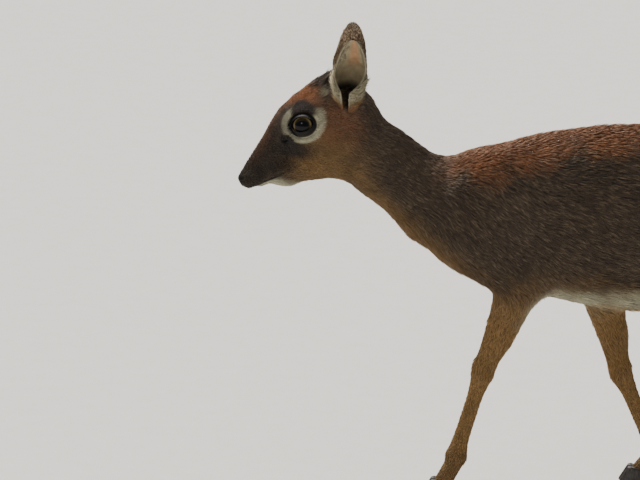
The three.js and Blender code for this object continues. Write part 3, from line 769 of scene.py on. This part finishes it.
def smoothed(points, edges, rounds, weight, back=-0.53):
    """Smoothing that keeps the volume: each round shrinks, then swells."""
    count = len(points)
    a, b = edges.T
    degree = np.bincount(edges.ravel(), minlength=count)[:, None]
    weight = np.broadcast_to(weight, count)[:, None]
    for _ in range(rounds):
        for push in (0.5, back):
            total = np.empty_like(points)
            for axis in range(points.shape[1]):
                total[:, axis] = np.bincount(a, points[b, axis], count)
                total[:, axis] += np.bincount(b, points[a, axis], count)
            points = points + (total / degree - points) * push * weight
    return points


def given_back(points, before, edges, triangles):
    """The smoothed places, with what the broad forms lost added again."""
    normals = normals_of(points, triangles)
    lost = ((before - points) * normals).sum(axis=1, keepdims=True)
    return points + normals * smoothed(lost, edges, BROAD_ROUNDS, 1.0, back=0.5)


def refined(mesh, wanted):
    """Halves the faces of a mesh where wanted(points) is true."""
    shape = bmesh.new()
    shape.from_mesh(mesh)
    chosen = wanted(coordinates(mesh))
    edges = [edge for edge in shape.edges if chosen[edge.verts[0].index] and chosen[edge.verts[1].index]]
    bmesh.ops.subdivide_edges(shape, edges=edges, cuts=1, use_grid_fill=True)
    poured(shape, mesh)


def face_part(points):
    return (points[:, 0] < -150) & (points[:, 2] < 395)


def feature_part(points):
    right = folded(points)
    near_eye = np.linalg.norm(right - EYE, axis=1) < 20
    near_gland = np.linalg.norm(right - GLAND, axis=1) < 9
    near_mouth = (np.abs(mouth_height(points)) < 4) & (points[:, 0] < -202) & (points[:, 2] < 315)
    return near_gland | near_mouth | (points[:, 0] < -236) | near_eye


def socket_step(points):
    """How far the skin steps back behind the lids."""
    along, across, outward = eye_ring(points)
    off = oval_off(along, across, (0, 0), SOCKET_SIZE)
    step = eye_axes(1)[0] * np.where(outward > 0, fade(1.35, 0.9, off) * SOCKET_DEPTH, 0)[:, None]
    step[:, 1] *= np.where(points[:, 1] < 0, -1.0, 1.0)
    return step


def mouth_depth(points):
    """The mouth's line, between lips that swell above and below it."""
    height = mouth_height(points)
    turn = np.degrees(np.arctan2(np.abs(points[:, 1]), (points - MOUTH_MIDDLE) @ MOUTH_FORWARD))
    at_mouth = fade(MOUTH_TURN + 6, MOUTH_TURN - 12, turn) * (points[:, 0] < -200)
    lips = 0.5 * bell(height - 2.2, 1.3) + 0.4 * bell(height + 2.2, 1.2)
    return (MOUTH_DEPTH * bell(height, 0.75) - lips) * at_mouth


def dent(points, place, axes, sizes):
    """1 in the middle of a dent, falling off along both of its axes."""
    first, second = ((points - place) @ unit(np.array(axis)) for axis in axes)
    return bell(first, sizes[0]) * bell(second, sizes[1])


def groove_depth(points):
    """A shallow groove down each side of a cannon, beside the tendons."""
    grooved = np.zeros(len(points))
    for leg in LEGS:
        along, angle, away = along_line(points, leg_line(leg)[2:4])
        beside = bell(np.abs(angle) - GROOVE_ANGLE, 0.35)
        grooved += beside * fade(0.06, 0.2, along) * fade(0.9, 0.75, along) * fade(22, 16, away)
    return grooved * GROOVE_DEPTH


def sculpted(points, normals):
    """Eye sockets, mouth, lips, nostrils, glands, and the grooves beside the tendons."""
    right = folded(points)
    depth = mouth_depth(points) + groove_depth(points)
    depth += NOSTRIL_DEPTH * dent(right, NOSTRIL, NOSTRIL_AXES, NOSTRIL_SIZE) * (right[:, 1] > 2)
    depth += GLAND_DEPTH * dent(right, GLAND, GLAND_AXES, GLAND_SIZE)
    depth -= GLAND_SWELL * dent(right, GLAND, GLAND_AXES, GLAND_SWELL_SIZE)
    return points - socket_step(points) - normals * depth[:, None]


def build_skin():
    mesh = flesh_shell()
    points = coordinates(mesh)
    edges = rows_of(mesh.edges, "vertices", 2)
    legs = fade(190, 160, points[:, 2])
    head = fade(-120, -150, points[:, 0])
    before = points
    points = smoothed(points, edges, TORSO_ROUNDS, np.clip(1 - legs * 0.55 - head * 0.7, 0.1, 1))
    crown = spot(points, (-172, 0, 396), (36, 22, 18), 0.3)
    points = smoothed(points, edges, CROWN_ROUNDS, crown)
    points = given_back(points, before, edges, triangles_of(mesh))
    height = line_height(points, CROWN_LINE) - CROWN_ROUND * points[:, 1] ** 2
    points[:, 2] += (height - points[:, 2]) * spot(points, CROWN, CROWN_REACH, 0.4)
    points -= normals_of(points, triangles_of(mesh)) * coat_depth(points)[:, None]
    set_coordinates(mesh, points)
    for wanted, rounds in ((face_part, FACE_ROUNDS), (feature_part, FEATURE_ROUNDS)):
        refined(mesh, wanted)
        points = coordinates(mesh)
        edges = rows_of(mesh.edges, "vertices", 2)
        points = smoothed(points, edges, rounds, fade(-140, -155, points[:, 0]))
        set_coordinates(mesh, points)
    points = sculpted(points, normals_of(points, triangles_of(mesh)))
    set_coordinates(mesh, points)
    mesh.shade_smooth()
    return mesh


# Lids

def build_lids(side, skin_tree):
    """A ring of bare skin from behind the opening's rim, over it and into the face."""
    eye = sided(EYE, side)
    axes = eye_axes(side)
    shape = bmesh.new()
    bmesh.ops.create_grid(shape, x_segments=72, y_segments=14, size=0.5)
    for vertex in shape.verts:
        around = (vertex.co.x + 0.5) * 2 * math.pi
        vertex.co = lid_point(around, vertex.co.y + 0.5, eye, axes, skin_tree)
    bmesh.ops.remove_doubles(shape, verts=shape.verts, dist=0.02)
    bmesh.ops.recalc_face_normals(shape, faces=shape.faces)
    return mesh_from(shape)


def lid_point(around, share, eye, axes, skin_tree):
    """A place on the lids. Its share runs from 0, tucked behind the rim, to 1 in the face."""
    out, forward, up = axes
    ahead, above = math.cos(around), math.sin(around)
    corner = 1 + LID_CORNER * abs(ahead) ** 6 * (LID_FRONT_CORNER if ahead > 0 else LID_BACK_CORNER)
    rim = np.array((LID_LENGTH * ahead * corner, LID_HEIGHT * above - LID_LOWERED))
    tucked = max(0.0, 1 - share / LID_BEHIND)
    spread = max(0.0, (share - LID_BEHIND) / (1 - LID_BEHIND))
    away = rim * (1 + (LID_SPREAD * spread + LID_TUCKED * tucked) / np.linalg.norm(rim))
    start = eye + forward * away[0] + up * away[1]
    ball = math.sqrt(max(EYE_RADIUS**2 - away @ away * 0.9, 16))
    swell = LID_SWELL * math.sin(math.pi * min(1, share / LID_BEHIND / 2))
    rise = ball + 0.15 + swell + LID_THICK * min(1, share / LID_BEHIND)
    if spread > 0:
        hit = skin_tree.ray_cast(Vector(start + out * 40), Vector(-out))[0]
        face = (np.array(hit) - start) @ out if hit else rise
        crease = LID_CREASE * bell(spread - 0.42, 0.1) * (1 if above > 0 else 0.5)
        smooth = fade(0, 1, spread)
        rise = rise * (1 - smooth) + (face - 0.35) * smooth - crease
        cover = math.sqrt(max(EYE_RADIUS**2 - away @ away, 0))
        rise = max(rise, cover + LID_CLEAR)
    return Vector(start + out * rise)


# Ears

def ear_axes(side):
    lean = math.radians(EAR_LEAN)
    up = unit(sided((0.06, math.sin(lean), math.cos(lean)), side))
    facing = sided((-0.32, math.cos(lean), -math.sin(lean)), side)
    facing = unit(facing - up * (facing @ up))
    return up, facing, np.cross(up, facing)


def ear_points(side, height, turned, lifted=0.0):
    """Places on an ear: height runs from 0 to 1, turned from -1 at one edge to 1 at the other."""
    up, facing, across = ear_axes(side)
    beyond = (height - EAR_WIDEST) / (1.005 - EAR_WIDEST)
    rising = EAR_ROOT_WIDTH + (1 - EAR_ROOT_WIDTH) * fade(0.05, EAR_WIDEST, height)
    falling = np.maximum(1 - np.maximum(beyond, 0) ** 2, 0.0004) ** EAR_POINT
    leaf = np.where(beyond < 0, rising, falling)
    span = np.radians(EAR_ROLLED + (EAR_OPENED - EAR_ROLLED) * fade(*EAR_OPENING, height))
    radius = EAR_WIDTH / 2 * leaf / np.where(span < math.pi / 2, np.sin(span), 1)
    sink = radius * np.cos(np.minimum(span, math.pi / 2)) * 0.5
    ridges = fade(0.1, 0.3, height) * fade(0.95, 0.7, height) * fade(0.9, 0.6, np.abs(turned))
    wall = radius + 0.35 * np.cos(turned * 13) * ridges + lifted
    turn = span * turned
    return (
        sided(EAR_ROOT, side)
        + up * (EAR_LENGTH * height - EAR_SUNK)[:, None]
        + across * (wall * np.sin(turn))[:, None]
        + facing * (sink - wall * np.cos(turn) + EAR_BEND * np.sin(math.pi * height))[:, None]
    )


def build_ear(side):
    """A leaf of two layers that meet at its edges and tip, rolled up towards the root."""
    shape = bmesh.new()
    bmesh.ops.create_grid(shape, x_segments=2 * EAR_AROUND, y_segments=EAR_RINGS, size=0.5)
    flat = np.array([vertex.co for vertex in shape.verts]) + 0.5
    step = np.rint(flat[:, 0] * 2 * EAR_AROUND) % (2 * EAR_AROUND)
    outer = step < EAR_AROUND
    turned = np.where(outer, step, 2 * EAR_AROUND - 1 - step) / (EAR_AROUND - 1) * 2 - 1
    height = flat[:, 1] ** 0.9 * 0.998
    lifted = np.where(outer, 0.5, -0.5) * EAR_THICK
    layers = {name: (shape.verts.layers.float.new(name), values)
              for name, values in ear_colours(height, turned, outer).items()}
    for n, (vertex, place) in enumerate(zip(shape.verts, ear_points(side, height, turned, lifted))):
        vertex.co = place
        for layer, values in layers.values():
            vertex[layer] = values[n]
    bmesh.ops.remove_doubles(shape, verts=shape.verts, dist=0.01)
    bmesh.ops.recalc_face_normals(shape, faces=shape.faces)
    return mesh_from(shape)


def ear_colours(height, turned, outer):
    """Grey-brown behind with pale edges, cream inside with a pink middle, and black painted shadow low in
    the cup by the slit.
    """
    off = np.abs(turned)
    inside = np.where(outer, 0.0, 1.0)
    above_root = fade(0.12, 0.24, height)
    edges = fade(0.84, 0.96, off) * 0.3
    beside_slit = (1 - inside) * fade(0.62, 0.78, off) * fade(0.46, 0.34, height) * 0.55
    cup = inside * (0.38 + 0.2 * fade(0.3, 0.7, off))
    return {
        "rust": fade(0.26, 0.12, height) * 0.5,
        "tan": 0.25 + inside * 0.5,
        "cream": np.maximum.reduce((edges, beside_slit, cup)) * above_root,
        "dark": (1 - inside) * fade(0.80, 1.0, height) * 0.6,
        # Painted shadow: black in the deep lower cup inside the ear
        "black": inside * fade(0.38, 0.26, height) * fade(0.60, 0.40, off) * 0.95,
        "pink": inside * fade(0.45, 0.1, off) * fade(0.50, 0.66, height) * 0.55,
    }


def ear_hairs(side):
    """The fur of one ear: it lies up the ear, and inside it leans in from the edges."""
    sets = []
    for low, high, near, far, outer, count, lean, *sizes in EAR_FUR:
        height = rng.uniform(low, high, count * 2)
        height = height[rng.random(count * 2) < 1.15 - height**4][:count]
        turned = rng.uniform(near, far, len(height)) * rng.choice((-1, 1), len(height))
        here, higher, beside = (
            ear_points(side, height + dh, turned + dt, EAR_THICK * (0.4 if outer else -0.4))
            for dh, dt in ((0, 0), (0.01, 0), (0, 0.01))
        )
        rising = unit(higher - here)
        ups = unit(np.cross(rising, beside - here)) * side * (1 if outer else -1)
        inwards = unit(beside - here) * (-turned * lean)[:, None]
        backs = np.full(len(height), outer)
        sizes = np.tile(np.array(sizes, float), (len(height), 1))
        sizes[:, 0] *= fade(1.12, 0.9, height)
        sets.append(hairs_on(here, ups, rising + inwards, sizes, ear_colours(height, turned, backs)))
    return {key: np.concatenate([hairs[key] for hairs in sets]) for key in sets[0]}


# Eyes and hooves

def build_eye(side):
    out, forward, up = eye_axes(side)
    shape = bmesh.new()
    bmesh.ops.create_uvsphere(shape, u_segments=64, v_segments=40, radius=EYE_RADIUS)
    turn = Vector((0, 0, 1)).rotation_difference(Vector(out)).to_matrix()
    bmesh.ops.rotate(shape, verts=shape.verts, matrix=turn)
    bmesh.ops.translate(shape, verts=shape.verts, vec=Vector(sided(EYE, side)))
    mesh = mesh_from(shape)
    off = coordinates(mesh) - sided(EYE, side)
    set_attribute(mesh, "along", off @ forward + 30 * (off @ out < 0))
    set_attribute(mesh, "above", off @ up)
    return mesh


def build_hoof(leg):
    """Both claws of a foot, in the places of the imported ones."""
    whole = bmesh.new()
    for part in ("inner", "outer"):
        lowest, highest = (from_frame(np.array(corner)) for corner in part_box(f"{leg}_hoof_{part}"))
        whole.from_mesh(mesh_from(claw(lowest, highest)))
    mesh = poured(whole)
    mesh.shade_smooth()
    return mesh


def claw(lowest, highest):
    shape = bmesh.new()
    bmesh.ops.create_cone(shape, cap_ends=True, segments=28, radius1=0.5, radius2=0.5, depth=1)
    walls = [edge for edge in shape.edges if abs(edge.verts[0].co.z - edge.verts[1].co.z) > 0.5]
    bmesh.ops.subdivide_edges(shape, edges=walls, cuts=6)
    length, width, height = highest - lowest
    middle = (lowest + highest) / 2
    for vertex in shape.verts:
        share = vertex.co.z + 0.5
        ahead = -vertex.co.x * 2
        narrow = 1 - 0.42 * max(0.0, ahead) ** 2.2
        lean = 0.34 * share * max(0.0, ahead) + 0.05 * share * max(0.0, -ahead)
        sole = 1 - 0.06 * max(0.0, 1 - share * 9)
        x = middle[0] + vertex.co.x * length * sole + lean * length
        y = middle[1] + vertex.co.y * width * narrow * sole * (1 - 0.06 * share)
        z = lowest[2] + height * share * (1.12 - 0.3 * fade(-0.3, 0.9, -ahead))
        vertex.co = (x, y, z)
    return shape


# Coat

def scattered(points, triangles, spacing, wanted):
    """Evenly spread places: the corners of each one's triangle, and its shares of them."""
    a, b, c = (points[triangles[:, n]] for n in range(3))
    area = np.linalg.norm(np.cross(b - a, c - a), axis=1) / 2
    share = area * wanted[triangles].mean(axis=1) / spacing[triangles].mean(axis=1) ** 2
    total = np.cumsum(share)
    count = int(total[-1])
    steps = (np.arange(count) + rng.random(count)) * total[-1] / count
    chosen = np.searchsorted(total, steps).clip(0, len(triangles) - 1)
    u, v = rng.random((2, count))
    over = u + v > 1
    u, v = np.where(over, 1 - u, u), np.where(over, 1 - v, v)
    return triangles[chosen], np.stack((1 - u - v, u, v), axis=1)


# A tuft: three points at its root, three at its bend, and its tip
TUFT_FACES = np.array(
    [(0, 2, 1)]
    + [face for n, m in ((0, 1), (1, 2), (2, 0)) for face in ((n, m, 3 + n), (m, 3 + m, 3 + n))]
    + [(3, 4, 6), (4, 5, 6), (5, 3, 6)]
)
TUFT_SHARES = np.array((0, 0, 0, 0.5, 0.5, 0.5, 1.0))
TUFT_CORNERS = np.array(((-1, -1), (1, -1), (0, 1), (-0.7, 0), (0.7, 0), (0, 0.8), (0, 1)))  # on its patch


def hairs_on(roots, normals, lie, sizes, colours):
    """Each tuft, with some chance in it. The sizes are length, width and lift."""
    count = len(roots)
    lie = unit(lie)
    turned = wander(roots, 14, 2) * 0.14 + wander(roots, 4, 5) * 0.1 + rng.normal(0, 0.13, count)
    plain = np.clip(1 - colours["dark"] - colours["black"] - colours["cream"], 0, 1)
    plain = plain * (1 - 0.75 * colours["tan"])
    return {
        "roots": roots,
        "normals": normals,
        "lie": lie + np.cross(normals, lie) * turned[:, None],
        "length": sizes[:, 0] * rng.uniform(0.7, 1.2, count),
        "width": sizes[:, 1] * rng.uniform(0.7, 1.25, count),
        "lift": sizes[:, 2] * rng.uniform(0.45, 1.35, count),
        "tone": rng.random(count) * 0.7 + 0.15 * (wander(roots, 3, 7) + 1),
        "ticked": (rng.random(count) < TICKED) * rng.uniform(0.25, 0.8, count) * plain,
        **colours,
    }


def tufts(hairs):
    """Flat tapered tufts: each rises from its root, then bends back down along the lie of the coat."""
    roots, normals, lie = hairs["roots"], hairs["normals"], hairs["lie"]
    lie = unit(lie - normals * (lie * normals).sum(axis=1, keepdims=True))
    across = np.cross(normals, lie)
    length, width = hairs["length"][:, None], hairs["width"][:, None]
    rise = np.tan(np.radians(hairs["lift"]))[:, None]
    start = roots - normals * TUFT_SUNK
    middle = start + lie * length * 0.5 + normals * (length * 0.5 * rise + TUFT_SUNK * 0.6)
    tip = start + lie * length + normals * (length * rise * (1 - TUFT_CURL * 0.5) + TUFT_SUNK * 0.6)
    thick = normals * width * TUFT_THICK
    rows = [
        start + across * width * 0.5, start - across * width * 0.5, start + thick,
        middle + across * width * 0.42, middle - across * width * 0.42, middle + thick * 0.8,
        tip,
    ]
    points = np.stack(rows, axis=1)
    faces = TUFT_FACES[None] + (np.arange(len(roots)) * TUFT_POINTS)[:, None, None]
    return points.reshape(-1, 3), faces.reshape(-1, 3)


def bake_map(mesh, roots, line, faces):
    """Each tuft's small patch, at its root's place on an unwrap of the shape round a line."""
    along, angle, _ = along_line(roots, line)
    middle = np.stack((along * 0.98 + 0.01, angle / (2 * math.pi) * 0.98 + 0.5), axis=1)
    places = (middle[:, None] + TUFT_CORNERS * PATCH).reshape(-1, 2)
    layer = mesh.uv_layers.new(name="OFBake")
    layer.data.foreach_set("uv", places[faces.ravel()].astype(np.float32).ravel())


def coat_piece(name, hairs, line, material, slot):
    points, faces = tufts(hairs)
    mesh = mesh_of(points, faces)
    set_attribute(mesh, "share", np.tile(TUFT_SHARES, len(hairs["roots"])))
    for key in ("tone", "ticked", *COLOURS):
        set_attribute(mesh, key, np.repeat(hairs[key], TUFT_POINTS))
    bake_map(mesh, hairs["roots"], line, faces)
    place_piece(name, mesh, material, slot)


def nearest_node(points):
    """The solid of the flesh that each place is nearest to."""
    solids = [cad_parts[name].data for name in FLESH]
    corners = [(vertex.co, n) for n, solid in enumerate(solids) for vertex in solid.vertices]
    tree = KDTree(len(corners))
    for place, n in corners:
        tree.insert(place, n)
    tree.balance()
    return np.array([tree.find(place)[1] for place in to_frame(points)])


def bare_skin(points):
    """True where no hair grows: in the eyes' openings, on lids, nose, glands and in the mouth's line."""
    right = folded(points)
    along, across, outward = eye_ring(points)
    lid = (oval_off(along, across, LID_BARE_MIDDLE, LID_HAIRLESS) < 1) & (outward > -3)
    nose = np.linalg.norm((right - NOSE_TIP) / (6.5, 6, 6), axis=1) < 1
    gland = np.linalg.norm((right - GLAND) / (4.2, 6, 2.6), axis=1) < 1
    mouth = (np.abs(mouth_height(points)) < 1.2) & (points[:, 0] < -206) & (points[:, 2] < 312)
    return lid | nose | gland | mouth


def sown(mesh, spacing, wanted):
    """Places on a mesh where wanted is above 0, with the normals, lie and sizes there."""
    points = coordinates(mesh)
    triangles = triangles_of(mesh)
    lie, sizes = coat_plan(points)
    apart = sizes[:, 3] if spacing is None else np.full(len(points), spacing)
    corners, shares = scattered(points, triangles, apart, wanted(points).astype(float))
    normals = normals_of(points, triangles)
    given = (points, normals, lie, sizes)
    roots, normals, lie, sizes = ((values[corners] * shares[..., None]).sum(axis=1) for values in given)
    kept = wanted(roots) > 0
    return roots[kept], unit(normals[kept]), lie[kept], sizes[kept, :3]


def build_coat(mesh, material):
    roots, normals, lie, sizes = sown(mesh, None, lambda points: ~bare_skin(points))
    hairs = hairs_on(roots, normals, lie, sizes, markings(roots))
    for name, chosen, line, slot in coat_regions(nearest_node(roots), roots):
        coat_piece(name, {key: values[chosen] for key, values in hairs.items()}, line, material, slot)


def build_crest(mesh, material):
    """The long dark locks on the crown, which lie back between the ears."""
    roots, normals, _, _ = sown(mesh, CREST_SPACING, lambda points: spot(points, CREST, CREST_REACH, 0.1))
    sizes = np.tile(np.array(CREST_SIZES, float), (len(roots), 1))
    lie = np.tile(CREST_LIE, (len(roots), 1))
    colours = {key: np.zeros(len(roots)) for key in COLOURS}
    colours["rust"] = np.full(len(roots), 0.5)
    colours["dark"] = rng.uniform(0.6, 1.0, len(roots))
    hairs = hairs_on(roots, normals, lie, sizes, colours)
    coat_piece("coat_crest", hairs, BODY_LINE, material, "head_coat")


def coat_regions(node, roots):
    """Name, tufts, line and slot of each piece of the coat. A long region is split along X."""
    regions = [("head", BODY_LINE, "head_coat"), ("neck", BODY_LINE, "body_coat"),
               ("torso", BODY_LINE, "body_coat"), ("tail", TAIL_LINE, "body_coat")]
    regions += [(leg, leg_line(leg), "leg_coat") for leg in LEGS]
    for region, line, slot in regions:
        mine = [n for n, name in enumerate(FLESH) if name.startswith(region)]
        chosen = np.flatnonzero(np.isin(node, mine))
        chosen = chosen[np.argsort(roots[chosen, 0], kind="stable")]
        parts = max(1, math.ceil(len(chosen) / MOST_TUFTS))
        for n, part in enumerate(np.array_split(chosen, parts)):
            name = f"coat_{region}" if parts == 1 else f"coat_{region}_{n + 1}"
            yield name, part, line, slot


# Stage

def build_stage():
    shape = bmesh.new()
    bmesh.ops.create_grid(shape, x_segments=8, y_segments=8, size=30)
    mesh = poured(shape)
    floor = linked("floor", mesh)
    paint = Paint("floor", Roughness=0.9)
    speckle = paint.noise(paint.place(), 40.0, 3.0)
    mesh.materials.append(paint.finish(Base_Color=paint.mix(speckle, *FLOOR_COLOURS)))
    world = bpy.context.scene.world = bpy.data.worlds.new("studio")
    world.use_nodes = True
    sky = world.node_tree.nodes["Background"].inputs
    sky["Color"].default_value = SKY_COLOUR
    sky["Strength"].default_value = SKY_STRENGTH
    for row in LIGHTS:
        studio_light(*row)


def studio_light(kind, name, place, power, colour, settings):
    data = bpy.data.lights.new(name, kind)
    for key, value in settings.items():
        setattr(data, key, value)
    data.energy = power
    data.color = colour
    light = linked(name, data)
    point(light, Vector(place), Vector(LIT_PLACE) - Vector(place))


def point(thing, place, ahead):
    thing.location = place
    thing.rotation_mode = "QUATERNION"
    thing.rotation_quaternion = ahead.to_track_quat("-Z", "Y")


def build_camera():
    data = bpy.data.cameras.new("camera")
    data.lens = CAMERA_LENS
    data.clip_end = 100
    camera = linked("camera", data)
    tilt = math.radians(CAMERA_TILT)
    back = Vector((0, -math.cos(tilt), math.sin(tilt)))
    point(camera, Vector(to_frame(CAMERA_AIM)) + back * CAMERA_AWAY, -back)
    bpy.context.scene.camera = camera


# The whole animal

def build_body():
    skin_paint, coat_paint = skin_material(), coat_material()
    skin = build_skin()
    points = coordinates(skin)
    tree = BVHTree.FromPolygons(points.tolist(), triangles_of(skin).tolist())
    build_coat(skin, coat_paint)
    build_crest(skin, coat_paint)
    whole = bmesh.new()
    whole.from_mesh(skin)
    for side in (-1, 1):
        whole.from_mesh(build_lids(side, tree))
    poured(whole, skin)
    skin.shade_smooth()
    for key, values in markings(coordinates(skin)).items():
        set_attribute(skin, key, values)
    place_piece("skin", skin, skin_paint, "body_coat", FLESH)
    for side, word in SIDES:
        place_piece(f"ear_shell_{word}", build_ear(side), skin_paint, "head_coat", [f"ear_{word}"])
        line = (sided(EAR_ROOT, side), sided(EAR_ROOT, side) + ear_axes(side)[0] * EAR_LENGTH)
        coat_piece(f"coat_ear_{word}", ear_hairs(side), line, coat_paint, "head_coat")


def build_eyes():
    material = eye_material()
    for side, word in SIDES:
        place_piece(f"eyeball_{word}", build_eye(side), material, "eye", [f"eye_{word}"])


def build_hooves():
    material = horn_material()
    for leg in LEGS:
        nodes = [f"{leg}_hoof_inner", f"{leg}_hoof_outer"]
        place_piece(f"hooves_{leg}", build_hoof(leg), material, "horn", nodes)


build_camera()
build_stage()
build_body()
build_eyes()
build_hooves()
